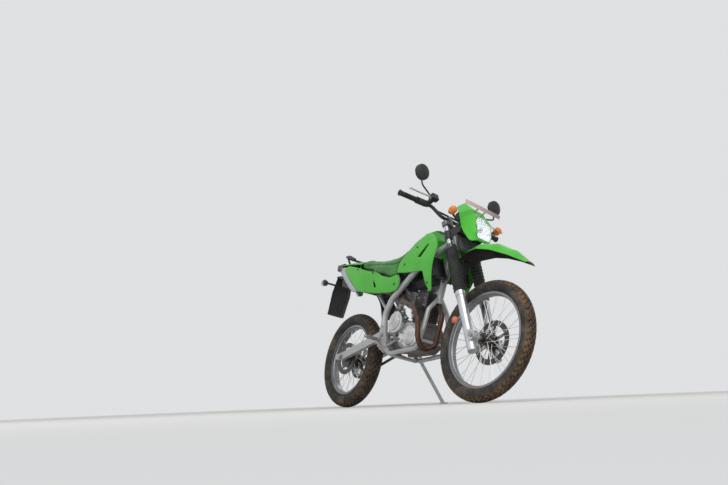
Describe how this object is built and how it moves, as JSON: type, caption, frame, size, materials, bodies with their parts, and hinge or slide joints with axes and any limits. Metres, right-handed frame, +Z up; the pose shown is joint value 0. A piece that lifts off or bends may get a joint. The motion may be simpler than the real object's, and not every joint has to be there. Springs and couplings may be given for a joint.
{
  "type": "dual sport motorcycle",
  "caption": "Dual sport motorcycle leaning on its side stand: spoked wheels with turning hubs, fork that steers, folding stand, tubular frame, finned engine and plastic bodywork",
  "frame": {"origin": "centre of the footprint, on the ground", "axes": "+X forward, +Y to the rider's left, +Z up; the machine leans to +Y on its stand"},
  "size_m": [2.1137, 0.8052, 1.4341],
  "materials": {
    "frame_silver": "satin paint",
    "lime_plastic": "gloss moulded",
    "seat_vinyl": "matt grained vinyl",
    "black_plastic": "matt",
    "black_metal": "satin paint",
    "rubber_black": "matt",
    "tyre_black": "matt",
    "rim_silver": "satin",
    "spoke_steel": "bright",
    "cast_alloy": "cast",
    "cylinder_alloy": "cast, darkened",
    "pipe_brown": "heat-stained",
    "fork_silver": "satin",
    "steel": "satin",
    "chain_steel": "oiled",
    "lens_clear": "clear",
    "amber_lens": "translucent",
    "red_lens": "translucent",
    "spring_metal": "gloss"
  },
  "bodies": {
    "chassis": {"main_frame": "frame_silver", "frame_cradle": "frame_silver", "subframe": "frame_silver", "swingarm": "frame_silver", "pivot_bolt": "steel", "rear_axle": "steel", "rear_caliper": "cast_alloy", "drive_chain": "chain_steel", "shock_absorber": "spring_metal", "engine_crankcase": "cast_alloy", "engine_cylinder": "cylinder_alloy", "engine_covers": "cast_alloy", "exhaust_header": "pipe_brown", "muffler": "black_metal", "carburettor": "cast_alloy", "airbox": "black_plastic", "fuel_tank": "lime_plastic", "shroud_left": "lime_plastic", "shroud_right": "lime_plastic", "seat": "seat_vinyl", "side_cover_left": "lime_plastic", "side_cover_right": "lime_plastic", "rear_fender": "black_plastic", "tail_light": "red_lens", "grab_rail": "black_metal", "footpegs": "steel", "foot_controls": "steel", "rear_indicators": "black_plastic", "shock_link": "cast_alloy", "front_sprocket": "steel"},
    "steering": {"triple_clamps": "cast_alloy", "fork_tubes": "fork_silver", "fork_gaiters": "rubber_black", "fork_sliders": "fork_silver", "front_axle": "steel", "front_caliper": "cast_alloy", "front_fender": "lime_plastic", "handlebar": "black_metal", "grips": "rubber_black", "hand_controls": "black_plastic", "mirrors": "black_plastic", "headlight_cowl": "lime_plastic", "headlight": "lens_clear", "lamp_bracket": "black_metal", "instrument": "black_plastic", "front_indicators": "amber_lens"},
    "front_wheel": {"front_tyre": "tyre_black", "front_rim": "rim_silver", "front_spokes": "spoke_steel", "front_hub": "cast_alloy"},
    "rear_wheel": {"rear_tyre": "tyre_black", "rear_rim": "rim_silver", "rear_spokes": "spoke_steel", "rear_hub": "cast_alloy", "rear_sprocket": "steel"},
    "side_stand": {"side_stand": "black_metal"}
  },
  "joints": [
    {"name": "steering", "type": "hinge", "parent": "chassis", "child": "steering", "pos_m": [0.32133, -0.04573, 0.94368], "axis": [-0.4526, 0.2006, 0.8689], "range_deg": [-48, 36]},
    {"name": "front_wheel_spin", "type": "hinge", "parent": "steering", "child": "front_wheel", "pos_m": [0.71025, -0.17876, 0.3368], "axis": [-0.0932, 0.9584, -0.2698], "continuous": true},
    {"name": "rear_wheel_spin", "type": "hinge", "parent": "chassis", "child": "rear_wheel", "pos_m": [-0.68947, -0.19124, 0.31339], "axis": [0, 0.9744, -0.225], "continuous": true},
    {"name": "side_stand_fold", "type": "hinge", "parent": "chassis", "child": "side_stand", "pos_m": [-0.12946, -0.04109, 0.28808], "axis": [0.0617, 0.9323, 0.3564], "range_deg": [0, 107]}
  ]
}
